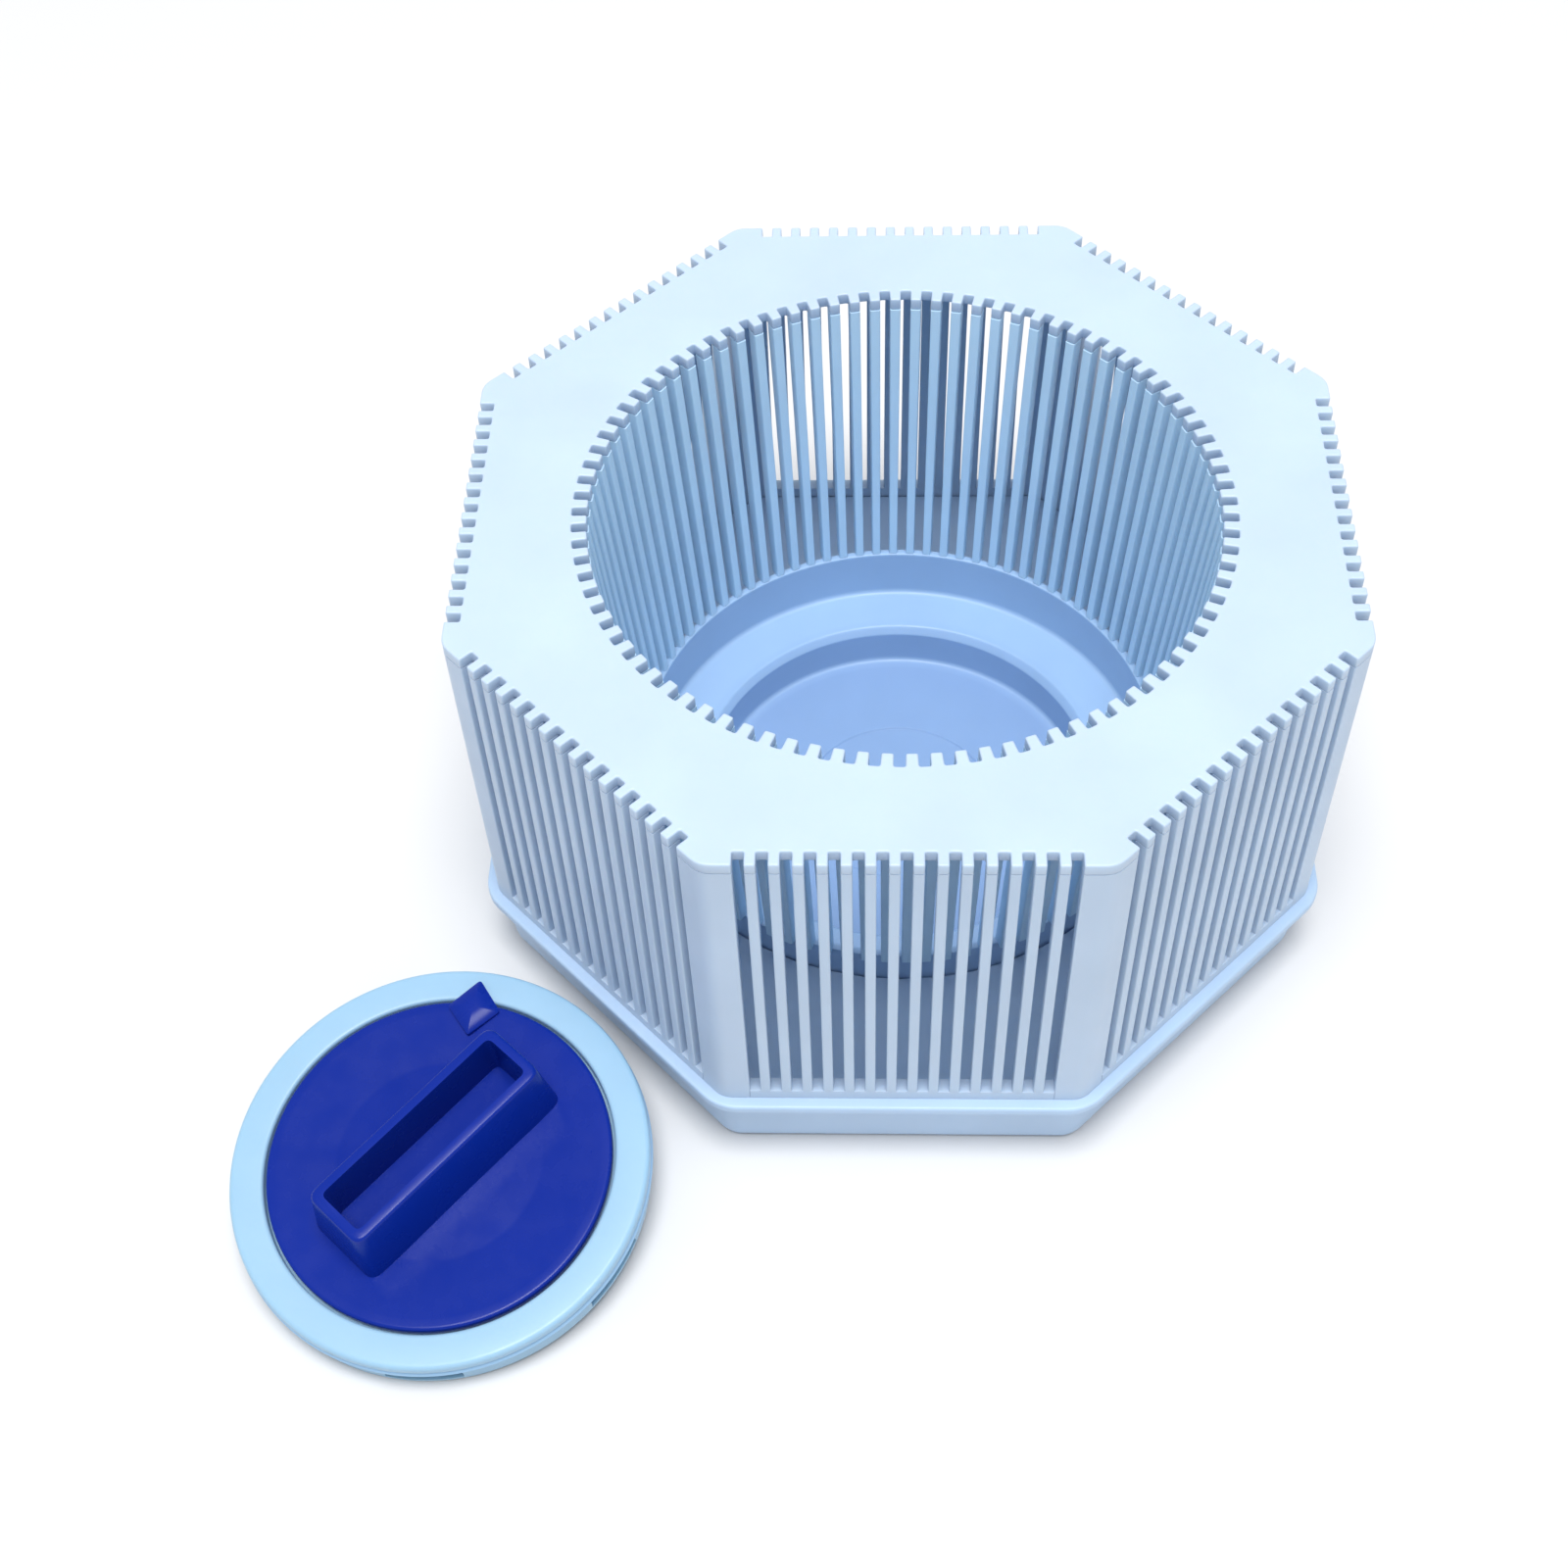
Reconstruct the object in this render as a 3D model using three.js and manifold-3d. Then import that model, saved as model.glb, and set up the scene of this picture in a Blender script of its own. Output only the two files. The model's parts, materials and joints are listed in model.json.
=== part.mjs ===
// Floating chlorine dispenser: an octagonal slotted basket on a shallow float base, with its dosing cap
// lying beside it.
// Millimetres, +Z up. The origin is the centre of the base's underside.
import * as THREE from "three";
import { mergeVertices } from "three/addons/utils/BufferGeometryUtils.js";
import Module from "manifold-3d";

const wasm = await Module();
wasm.setup();

// Driving dimensions
const SIDES = 8;
const WALL_APOTHEM = 101; // centre to the flat of the slotted outer wall
const LIP_APOTHEM = 103.8; // centre to the flat of the base's lip
const BODY_HEIGHT = 115; // floor to the top of the deck
const LIP_HEIGHT = 22.5; // floor to the top of the base's lip
const WALL = 3.5; // thickness of both slotted walls
const SKIN = 2.4; // thickness of the base, tray and cover mouldings
const GAP = 0.3; // running gap between neighbouring solids
const CORNER_R = 6; // rounding of the wall's upright corners
const PAN_CORNER_R = 12; // rounding of the base's corners, at its lip

const SLOT_WIDTH = 2.5;
const SIDE_SLOTS = 15; // slots in each outer side
const SIDE_PITCH = 4.85;
const SIDE_FOOT = 2.8; // unslotted strip at the bottom of each side
const WELL_FOOT = 8.7; // the same round the well

const WELL_TOP_R = 72.2; // tips of the slats at the well's mouth
const WELL_FOOT_R = 65; // tips of the slats at the well's foot
const WELL_PANELS = 15;
const WELL_PANEL_SLATS = 6;

const LEDGE_Z = 17; // ledge round the recess in the well's floor
const RECESS_R = 50.4;
const SOCKET_R = 7.2; // hole in the recess's floor that locates the cap's pin

const CAP_R = 49.4;
const CAP_SKIRT_R = 48.7;
const CAP_SKIRT_BORE_R = 45;
const CAP_HEIGHT = 11;
const CAP_WINDOWS = 6;
const WINDOW_WIDTH = 18;
const WINDOW_HEIGHT = 3;
const WINDOW_FOOT = 1.2; // lower edge of the windows, above the skirt's edge
const DIAL_R = 40.6;
const CAP_PLACE = new THREE.Vector2(-107.2, -112.8); // where the cap lies on the floor
const CAP_TILT = THREE.MathUtils.degToRad(6.5); // it rocks on its centre pin
const CAP_HIGH_SIDE = THREE.MathUtils.degToRad(75); // direction of the cap's raised side
const HANDLE = { length: 60, width: 21.5, rise: 16, draft: 2, wall: 2.4, round: 3 }; // at its foot
const HANDLE_DIRECTION = THREE.MathUtils.degToRad(48);
const POINTER_DIRECTION = THREE.MathUtils.degToRad(83);

// Heights worked out from the driving dimensions
const COVER_Z = LIP_HEIGHT - SKIN;
const WALL_Z = LIP_HEIGHT + GAP;
const WALL_TOP = BODY_HEIGHT - GAP; // slat tops stand just under the deck's face
const TRAY_OUTER_R = WELL_FOOT_R + SKIN;
const TRAY_Z = SKIN + GAP; // underside of the tray, just over the pan's floor
const HALF_CORNER = Math.PI / SIDES;
const PIN_DROP = CAP_SKIRT_R * Math.tan(CAP_TILT);

const COLOURS = {
  basket: [0xbcdcf7, 0.42],
  base: [0xb4d4f4, 0.45],
  foam: [0xf3f4ee, 0.9],
  collar: [0xb5e0fa, 0.4],
  dial: [0x1730a4, 0.32],
  seal: [0xd9e6ee, 0.6],
  pin: [0xdfe9f2, 0.5],
};

function material(key) {
  const [color, roughness] = COLOURS[key];
  return new THREE.MeshStandardMaterial({ color, roughness, metalness: 0 });
}

// manifold-3d solids from three.js geometry, and back
function solid(geometry, matrix = new THREE.Matrix4()) {
  const bare = geometry.index ? geometry.toNonIndexed() : geometry.clone();
  bare.deleteAttribute("normal");
  bare.deleteAttribute("uv");
  bare.applyMatrix4(matrix);
  const merged = mergeVertices(bare, 1e-4);
  return new wasm.Manifold(
    new wasm.Mesh({
      numProp: 3,
      vertProperties: merged.attributes.position.array,
      triVerts: new Uint32Array(merged.index.array),
    }),
  );
}

function geometryOf(manifold) {
  const mesh = manifold.getMesh();
  const geometry = new THREE.BufferGeometry();
  geometry.setAttribute("position", new THREE.BufferAttribute(mesh.vertProperties, 3));
  geometry.setIndex(new THREE.BufferAttribute(mesh.triVerts, 1));
  geometry.computeVertexNormals();
  return geometry;
}

function part(name, geometry, colour, parent) {
  const mesh = new THREE.Mesh(geometry, material(colour));
  mesh.name = name;
  parent.add(mesh);
  return mesh;
}

// An outline extruded upwards from z
function prism(shape, z, height, curveSegments = 6) {
  const geometry = new THREE.ExtrudeGeometry(shape, { depth: height, bevelEnabled: false, curveSegments });
  return geometry.translate(0, 0, z);
}

// A closed profile of [radius, height] pairs turned about +Z
function turned(profile, segments) {
  const points = profile.map(([r, z]) => new THREE.Vector2(r, z));
  if (profile[0][0] > 0) points.push(points[0].clone());
  return new THREE.LatheGeometry(points, segments).rotateX(Math.PI / 2);
}

function turn(angle) {
  return new THREE.Matrix4().makeRotationZ(angle);
}

function octagonRing(apothem, cornerRadius, arcSteps) {
  const points = [];
  const centre = (apothem - cornerRadius) / Math.cos(HALF_CORNER);
  for (let k = 0; k < SIDES; k++) {
    const corner = (2 * k + 1) * HALF_CORNER;
    for (let i = 0; i <= arcSteps; i++) {
      const a = corner - HALF_CORNER + (2 * HALF_CORNER * i) / arcSteps;
      points.push(
        new THREE.Vector2(
          centre * Math.cos(corner) + cornerRadius * Math.cos(a),
          centre * Math.sin(corner) + cornerRadius * Math.sin(a),
        ),
      );
    }
  }
  return points;
}

function panCornerRadius(apothem) {
  return Math.max(2, PAN_CORNER_R + apothem - LIP_APOTHEM);
}

function octagonShape(apothem, cornerRadius, holeRadius = 0) {
  const shape = new THREE.Shape(octagonRing(apothem, cornerRadius, 3));
  if (holeRadius) shape.holes.push(new THREE.Path().absarc(0, 0, holeRadius, 0, 2 * Math.PI));
  return shape;
}

// A closed profile of [apothem, height] pairs swept round the rounded octagon
function octagonSweep(profile) {
  const arcSteps = 3;
  const rings = profile.map(([a, z]) => ({ z, points: octagonRing(a, panCornerRadius(a), arcSteps) }));
  const count = rings[0].points.length;
  const positions = rings.flatMap(({ z, points }) => points.flatMap((p) => [p.x, p.y, z]));
  const index = [];
  for (let r = 0; r < rings.length; r++) {
    const next = (r + 1) % rings.length;
    for (let i = 0; i < count; i++) {
      const j = (i + 1) % count;
      const [a, b, c, d] = [r * count + i, r * count + j, next * count + j, next * count + i];
      index.push(a, b, c, a, c, d);
    }
  }
  const geometry = new THREE.BufferGeometry();
  geometry.setAttribute("position", new THREE.Float32BufferAttribute(positions, 3));
  geometry.setIndex(index);
  return geometry;
}

// One flat side: a comb of slats with slots that are open at the top
function sideGrille() {
  const halfWidth = ((SIDE_SLOTS - 1) * SIDE_PITCH + SLOT_WIDTH) / 2 + 1;
  const height = WALL_TOP - WALL_Z;
  const shape = new THREE.Shape();
  shape.moveTo(-halfWidth, 0);
  shape.lineTo(halfWidth, 0);
  shape.lineTo(halfWidth, height);
  for (let i = SIDE_SLOTS - 1; i >= 0; i--) {
    const x = (i - (SIDE_SLOTS - 1) / 2) * SIDE_PITCH;
    shape.lineTo(x + SLOT_WIDTH / 2, height);
    shape.lineTo(x + SLOT_WIDTH / 2, SIDE_FOOT);
    shape.lineTo(x - SLOT_WIDTH / 2, SIDE_FOOT);
    shape.lineTo(x - SLOT_WIDTH / 2, height);
  }
  shape.lineTo(-halfWidth, height);
  shape.closePath();
  const geometry = new THREE.ExtrudeGeometry(shape, { depth: WALL, bevelEnabled: false });
  return { geometry: geometry.rotateX(Math.PI / 2), halfWidth };
}

// The rounded post between two sides, drawn with its corner pointing along -Y
function cornerPost(grilleHalfWidth) {
  const reach = WALL_APOTHEM * Math.tan(HALF_CORNER) - grilleHalfWidth - GAP;
  const legEnd = (apothem, side) => {
    const corner = -apothem / Math.cos(HALF_CORNER);
    const shift = reach - (WALL_APOTHEM - apothem) * Math.tan(HALF_CORNER);
    return [side * shift * Math.cos(HALF_CORNER), corner + shift * Math.sin(HALF_CORNER)];
  };
  const arcCentre = -(WALL_APOTHEM - CORNER_R) / Math.cos(HALF_CORNER);
  const inner = WALL_APOTHEM - WALL;
  const shape = new THREE.Shape();
  shape.moveTo(...legEnd(WALL_APOTHEM, -1));
  shape.absarc(0, arcCentre, CORNER_R, -Math.PI / 2 - HALF_CORNER, -Math.PI / 2 + HALF_CORNER);
  shape.lineTo(...legEnd(WALL_APOTHEM, 1));
  shape.lineTo(...legEnd(inner, 1));
  shape.lineTo(0, -inner / Math.cos(HALF_CORNER));
  shape.lineTo(...legEnd(inner, -1));
  shape.closePath();
  return prism(shape, WALL_Z, WALL_TOP - WALL_Z);
}

// One panel of the well's conical slotted wall
function wellPanel() {
  const halfAngle = Math.PI / WELL_PANELS - GAP / 2 / WELL_FOOT_R;
  const cone = solid(
    turned(
      [
        [WELL_FOOT_R, WALL_Z],
        [WELL_FOOT_R + WALL, WALL_Z],
        [WELL_TOP_R + WALL, WALL_TOP],
        [WELL_TOP_R, WALL_TOP],
      ],
      60,
    ),
  );
  const reach = 2 * WELL_TOP_R;
  const wedge = new THREE.Shape();
  wedge.moveTo(0, 0);
  wedge.lineTo(reach * Math.cos(halfAngle), -reach * Math.sin(halfAngle));
  wedge.lineTo(reach * Math.cos(halfAngle), reach * Math.sin(halfAngle));
  wedge.closePath();
  let panel = cone.intersect(solid(prism(wedge, 0, BODY_HEIGHT + 10)));
  const pitch = (2 * Math.PI) / WELL_PANELS / WELL_PANEL_SLATS;
  const slotFoot = WALL_Z + WELL_FOOT;
  const cutter = new THREE.BoxGeometry(30, SLOT_WIDTH, BODY_HEIGHT);
  cutter.translate(WELL_TOP_R, 0, slotFoot + BODY_HEIGHT / 2);
  for (let i = 0; i <= WELL_PANEL_SLATS; i++) {
    panel = panel.subtract(solid(cutter, turn((i - WELL_PANEL_SLATS / 2) * pitch)));
  }
  return geometryOf(panel);
}

// A tub with a flat floor, rounded lower edges and a thin lip that stands out at its rim
function basePan() {
  const top = WALL_APOTHEM - 0.4;
  const foot = WALL_APOTHEM - 2;
  const rimInner = WALL_APOTHEM - 3.2;
  const lipUnder = LIP_HEIGHT - 1.9;
  const floorEdge = 90;
  const rim = octagonSweep([
    [floorEdge, 0],
    [foot - 3.4, 0],
    [foot - 1, 1],
    [foot, 3.5],
    [top, lipUnder - 1.6],
    [LIP_APOTHEM - 0.4, lipUnder - 0.6],
    [LIP_APOTHEM, lipUnder],
    [LIP_APOTHEM, LIP_HEIGHT - 0.5],
    [LIP_APOTHEM - 0.5, LIP_HEIGHT],
    [rimInner, LIP_HEIGHT],
    [foot - SKIN, SKIN + 2],
    [foot - SKIN - 1.2, SKIN],
    [floorEdge, SKIN],
  ]);
  const plate = prism(octagonShape(floorEdge + 1, 2), 0, SKIN);
  return geometryOf(solid(rim).add(solid(plate)));
}

// The buoyant ring that fills the pan round the well's tray
function floatRing() {
  const shape = octagonShape(WALL_APOTHEM - 6.2, 2, TRAY_OUTER_R + 2 * GAP);
  return prism(shape, TRAY_Z, COVER_Z - TRAY_Z - GAP, 24);
}

function floatCover() {
  const apothem = WALL_APOTHEM - 3.8;
  const shape = octagonShape(apothem, panCornerRadius(apothem), TRAY_OUTER_R + 2 * GAP);
  return prism(shape, COVER_Z, SKIN, 24);
}

// The flat ring between the two slotted walls
function deckPlate() {
  const thickness = 3.2;
  const shape = octagonShape(WALL_APOTHEM - WALL - GAP, 2, WELL_TOP_R + WALL + 2 * GAP);
  return prism(shape, BODY_HEIGHT - thickness, thickness, 30);
}

// The stepped floor of the well: a band under the slats, a ledge, and the recess that takes the cap
function wellTray() {
  const floorTop = TRAY_Z + SKIN;
  const chamfer = 1.7;
  return turned(
    [
      [SOCKET_R, TRAY_Z],
      [RECESS_R + SKIN, TRAY_Z],
      [RECESS_R + SKIN, LEDGE_Z - SKIN],
      [TRAY_OUTER_R, LEDGE_Z - SKIN],
      [TRAY_OUTER_R, LIP_HEIGHT],
      [WELL_FOOT_R, LIP_HEIGHT],
      [WELL_FOOT_R, LEDGE_Z],
      [RECESS_R + chamfer, LEDGE_Z],
      [RECESS_R, LEDGE_Z - chamfer],
      [RECESS_R, floorTop],
      [SOCKET_R, floorTop],
    ],
    48,
  );
}

function buildBody() {
  const body = new THREE.Group();
  part("base_pan", basePan(), "base", body);
  part("float_ring", floatRing(), "foam", body);
  part("float_cover", floatCover(), "base", body);
  part("well_tray", wellTray(), "base", body);
  part("deck", deckPlate(), "basket", body);

  const grille = sideGrille();
  const post = cornerPost(grille.halfWidth);
  for (let k = 0; k < SIDES; k++) {
    const side = new THREE.Group();
    side.rotation.z = 2 * k * HALF_CORNER;
    const panel = part(`side_grille_${k + 1}`, grille.geometry, "basket", side);
    panel.position.set(0, WALL - WALL_APOTHEM, WALL_Z);
    const corner = part(`corner_post_${k + 1}`, post, "basket", side);
    corner.rotation.z = HALF_CORNER;
    body.add(side);
  }

  const panelGeometry = wellPanel();
  for (let k = 0; k < WELL_PANELS; k++) {
    const panel = part(`well_grille_${k + 1}`, panelGeometry, "basket", body);
    panel.rotation.z = (2 * Math.PI * k) / WELL_PANELS + Math.PI / 4;
  }
  return body;
}

// Cap parts, drawn upright with z = 0 at the lower edge of the collar's skirt
const WEB_Z = 6;
const DIAL_Z = 8.3;
const DIAL_TOP = 11.3;
const STEM_R = 6;
const PIN_SHANK_R = 2.6;
const BORE_ROOF = 2; // dial material left over the pin's blind bore
const SLEEVE_SKIN = 2.2;

// Dosing windows through a thin upright ring
function cutWindows(ring, radius) {
  let cut = ring;
  const cutter = new THREE.BoxGeometry(12, WINDOW_WIDTH, WINDOW_HEIGHT);
  cutter.translate(radius, 0, WINDOW_FOOT + WINDOW_HEIGHT / 2);
  for (let i = 0; i < CAP_WINDOWS; i++) {
    cut = cut.subtract(solid(cutter, turn((2 * Math.PI * (i + 0.5)) / CAP_WINDOWS)));
  }
  return cut;
}

function capCollar() {
  const dishR = DIAL_R + 0.7;
  const ring = turned(
    [
      [STEM_R + GAP, WEB_Z],
      [CAP_SKIRT_BORE_R, WEB_Z],
      [CAP_SKIRT_BORE_R, 0],
      [CAP_SKIRT_R, 0],
      [CAP_SKIRT_R, 5.6],
      [46.6, 5.6],
      [46.6, 8.2],
      [CAP_R - 0.4, 8.2],
      [CAP_R, 8.8],
      [CAP_R - 0.5, 10.2],
      [CAP_R - 2, CAP_HEIGHT],
      [dishR + 0.8, CAP_HEIGHT - 0.3],
      [dishR, CAP_HEIGHT - 1],
      [dishR, WEB_Z + 2],
      [STEM_R + GAP, WEB_Z + 2],
    ],
    48,
  );
  return geometryOf(cutWindows(solid(ring), CAP_SKIRT_R));
}

function capSeal() {
  return turned(
    [
      [46.9, 5.9],
      [49, 5.9],
      [49.9, 6.6],
      [49.9, 7.2],
      [49, 7.9],
      [46.9, 7.9],
    ],
    48,
  );
}

// The bar handle is open at the top, as a moulded grip is, and its sides lean in towards the top
function dialHandle() {
  const { length, width, rise, draft, wall, round } = HANDLE;
  const foot = DIAL_TOP - 1;
  const bar = new THREE.Shape();
  bar.moveTo(-length / 2 + round, -width / 2);
  bar.lineTo(length / 2 - round, -width / 2);
  bar.absarc(length / 2 - round, round - width / 2, round, -Math.PI / 2, 0);
  bar.absarc(length / 2 - round, width / 2 - round, round, 0, Math.PI / 2);
  bar.absarc(round - length / 2, width / 2 - round, round, Math.PI / 2, Math.PI);
  bar.absarc(round - length / 2, round - width / 2, round, Math.PI, 1.5 * Math.PI);
  const block = prism(bar, foot, rise + 1, 3);
  const at = block.attributes.position;
  for (let i = 0; i < at.count; i++) {
    if (at.getZ(i) > foot + rise) {
      at.setX(i, at.getX(i) * (1 - (2 * draft) / length));
      at.setY(i, at.getY(i) * (1 - (2 * draft) / width));
    }
  }
  const inset = 2 * (draft + wall);
  const pocket = new THREE.BoxGeometry(length - inset, width - inset, rise);
  pocket.translate(0, 0, DIAL_TOP + rise / 2 + 3);
  return solid(block).subtract(solid(pocket));
}

function dialKnob() {
  const disc = turned(
    [
      [0, WEB_Z],
      [STEM_R, WEB_Z],
      [STEM_R, DIAL_Z],
      [DIAL_R, DIAL_Z],
      [DIAL_R, DIAL_TOP - 0.9],
      [DIAL_R - 0.9, DIAL_TOP - 0.1],
      [0, DIAL_TOP],
    ],
    48,
  );
  const pointer = new THREE.Shape();
  pointer.moveTo(DIAL_R - 9, 0);
  pointer.lineTo(DIAL_R - 2, -6.5);
  pointer.lineTo(DIAL_R + 5.7, 0);
  pointer.lineTo(DIAL_R - 2, 6.5);
  pointer.closePath();
  const boreDepth = 10;
  const boreR = PIN_SHANK_R + GAP;
  const bore = new THREE.CylinderGeometry(boreR, boreR, boreDepth, 16).rotateX(Math.PI / 2);
  bore.translate(0, 0, DIAL_TOP - BORE_ROOF - boreDepth / 2);
  let knob = solid(disc);
  knob = knob.add(dialHandle().transform(turn(HANDLE_DIRECTION).elements));
  knob = knob.add(solid(prism(pointer, DIAL_TOP - 0.3, 2.2), turn(POINTER_DIRECTION)));
  return geometryOf(knob.subtract(solid(bore)));
}

// Turns with the dial inside the skirt, so that its windows open or shut the collar's
function dosingSleeve() {
  const outer = CAP_SKIRT_BORE_R - GAP;
  const inner = outer - SLEEVE_SKIN;
  const top = WEB_Z - GAP;
  const cup = turned(
    [
      [PIN_SHANK_R + GAP, top - SLEEVE_SKIN],
      [inner, top - SLEEVE_SKIN],
      [inner, 0.5],
      [outer, 0.5],
      [outer, top],
      [PIN_SHANK_R + GAP, top],
    ],
    48,
  );
  return geometryOf(cutWindows(solid(cup), outer));
}

function centrePin() {
  const headR = 4.5;
  const headTop = WEB_Z - GAP - SLEEVE_SKIN - GAP;
  const pinTop = DIAL_TOP - BORE_ROOF - GAP;
  return turned(
    [
      [0, -PIN_DROP],
      [headR * 0.55, 0.5 - PIN_DROP],
      [headR, 2.2 - PIN_DROP],
      [headR, headTop],
      [PIN_SHANK_R, headTop],
      [PIN_SHANK_R, pinTop],
      [0, pinTop],
    ],
    24,
  );
}

function buildCap() {
  const cap = new THREE.Group();
  const tiltAxis = new THREE.Vector3(Math.sin(CAP_HIGH_SIDE), -Math.cos(CAP_HIGH_SIDE), 0);
  cap.quaternion.setFromAxisAngle(tiltAxis, CAP_TILT);
  cap.position.set(CAP_PLACE.x, CAP_PLACE.y, 0.05);
  const upright = new THREE.Group();
  upright.position.z = PIN_DROP;
  part("cap_collar", capCollar(), "collar", upright);
  part("cap_seal", capSeal(), "seal", upright);
  part("dial_knob", dialKnob(), "dial", upright);
  part("dosing_sleeve", dosingSleeve(), "collar", upright);
  part("centre_pin", centrePin(), "pin", upright);
  cap.add(upright);
  return cap;
}

const dispenser = new THREE.Group();
dispenser.add(buildBody());
dispenser.add(buildCap());

export default dispenser;
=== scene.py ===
"""Floating chlorine dispenser: fine moulded surfaces, materials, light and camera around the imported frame.

Lengths are in millimetres in this script and become metres where a mesh is made.
"""

import json
import math

import bmesh
import bpy
from mathutils import Matrix, Vector


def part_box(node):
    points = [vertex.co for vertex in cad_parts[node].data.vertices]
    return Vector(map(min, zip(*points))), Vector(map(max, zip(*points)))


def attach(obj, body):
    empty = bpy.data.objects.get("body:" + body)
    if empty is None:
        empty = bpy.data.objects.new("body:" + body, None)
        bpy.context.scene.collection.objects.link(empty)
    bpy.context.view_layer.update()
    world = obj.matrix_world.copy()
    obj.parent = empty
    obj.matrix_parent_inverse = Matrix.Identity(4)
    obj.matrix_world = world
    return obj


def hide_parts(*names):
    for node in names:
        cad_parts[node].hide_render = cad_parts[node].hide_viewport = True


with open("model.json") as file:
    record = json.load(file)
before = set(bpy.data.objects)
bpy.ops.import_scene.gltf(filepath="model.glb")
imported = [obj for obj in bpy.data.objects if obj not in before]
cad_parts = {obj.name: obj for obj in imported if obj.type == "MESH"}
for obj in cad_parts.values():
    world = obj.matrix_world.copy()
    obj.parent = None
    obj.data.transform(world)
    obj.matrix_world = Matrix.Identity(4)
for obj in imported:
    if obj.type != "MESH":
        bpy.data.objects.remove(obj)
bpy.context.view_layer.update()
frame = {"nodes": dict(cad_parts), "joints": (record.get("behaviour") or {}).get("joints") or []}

MM = 0.001
SIDES = 8
HALF_CORNER = math.pi / SIDES


def corners(node):
    """The lowest and highest corner of a CAD node, in millimetres."""
    low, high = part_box(node)
    return low / MM, high / MM


# Sizes read from the frame
side_low, side_high = corners("side_grille_1")
deck_low, deck_high = corners("deck")
pan_high = corners("base_pan")[1]
tray_low = corners("well_tray")[0]

WALL_APOTHEM = -side_low.y
WALL = side_high.y - side_low.y
DECK_TOP = deck_high.z
DECK_UNDER = deck_low.z
LIP_APOTHEM = pan_high.x
LIP_TOP = pan_high.z
TRAY_UNDER = tray_low.z

# The outer wall
SIDE_SLOTS = 15
SIDE_PITCH = 4.85
SLOT = 2.5
RAIL_TOP = LIP_TOP + 3.1
WALL_CORNER_R = 6
SLAT_EDGE_R = 0.4
NOTCH_TIP_R = 0.45
NOTCH_ROOT_R = 0.5
DECK_EDGE_R = 0.4

# The well
WELL_SLOTS = 90
WELL_PANELS = 15
WELL_TOP_R = 72.2
BAND_R = 65
BAND_TOP = LIP_TOP + 9
LEDGE_Z = 17
RECESS_R = 50.4
SKIN = 2.4
SOCKET_R = 7.2
SEAT_R = SOCKET_R + 18
SEAT_DEPTH = 0.4

# The base pan: five distances from its centre to its flats, then its corners and its lip
PAN_FLOOR = 60
PAN_FOOT = 98.9
PAN_WALL_TOP = 100.6
PAN_RIM_INNER = 97.8
PAN_FOOT_INNER = 96.6
PAN_CORNER_R = 12
LIP_THICKNESS = 2.5

# The cap's own frame: its z axis is the dial's axis, and z = 0 is the lower edge of its skirt
dial_joint = next(j for j in frame["joints"] if j["name"] == "dial_turn")
DIAL_AXIS = Vector(dial_joint["axis"])
SKIRT_R = 48.7
PIN_DROP = SKIRT_R * math.tan(Vector((0, 0, 1)).angle(DIAL_AXIS))
CAP_TO_WORLD = (
    Matrix.Translation(Vector(dial_joint["pos_m"]) / MM)
    @ Vector((0, 0, 1)).rotation_difference(DIAL_AXIS).to_matrix().to_4x4()
    @ Matrix.Translation((0, 0, PIN_DROP))
)
CAP_SEGMENTS = 160
GAP = 0.3
CAP_R = 49.4
CAP_TOP = 11
RIM_UNDER = 8.1
SKIRT_TOP = 5.6
SKIRT_BORE_R = 45
SEAL_GROOVE_R = 46.6
DISH_R = 41.3
WEB_Z = 6
WEB_TOP = WEB_Z + 2
STEM_R = 6
PIN_BORE_R = 2.9
SLEEVE_SKIN = 2.2
WINDOWS = 6
WINDOW_WIDTH = 18
WINDOW_HEIGHT = 3
WINDOW_FOOT = 1.2

DIAL_R = 40.6
DIAL_Z = 8.3
DIAL_TOP = 11.3
HANDLE_LENGTH = 56
HANDLE_WIDTH = 17.5
HANDLE_TOP = DIAL_TOP + 16
HANDLE_WALL = 2.2
HANDLE_DRAFT = 2
HANDLE_DIRECTION = math.radians(48)
POINTER_DIRECTION = math.radians(83)


# Mesh helpers


def smooth(obj, sharp=35):
    """Shades smooth except at edges that bend more than sharp degrees."""
    obj.data.shade_smooth()
    obj.data.set_sharp_from_angle(angle=math.radians(sharp))


def finish_mesh(name, bm, matrix=None):
    """Turns a bmesh in millimetres into an object in metres, shaded smooth except at sharp edges."""
    bmesh.ops.remove_doubles(bm, verts=bm.verts, dist=1e-5)
    bmesh.ops.recalc_face_normals(bm, faces=bm.faces)
    if matrix:
        bm.transform(matrix)
    bm.transform(Matrix.Scale(MM, 4))
    mesh = bpy.data.meshes.new(name)
    bm.to_mesh(mesh)
    bm.free()
    obj = bpy.data.objects.new(name, mesh)
    smooth(obj)
    bpy.context.scene.collection.objects.link(obj)
    return obj


def loft(bm, rings):
    """Skins equal rings of points and caps both ends."""
    rows = [[bm.verts.new(p) for p in ring] for ring in rings]
    count = len(rows[0])
    for a, b in zip(rows, rows[1:]):
        for i in range(count):
            j = (i + 1) % count
            bm.faces.new((a[i], a[j], b[j], b[i]))
    bm.faces.new(rows[0])
    bm.faces.new(list(reversed(rows[-1])))


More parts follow.
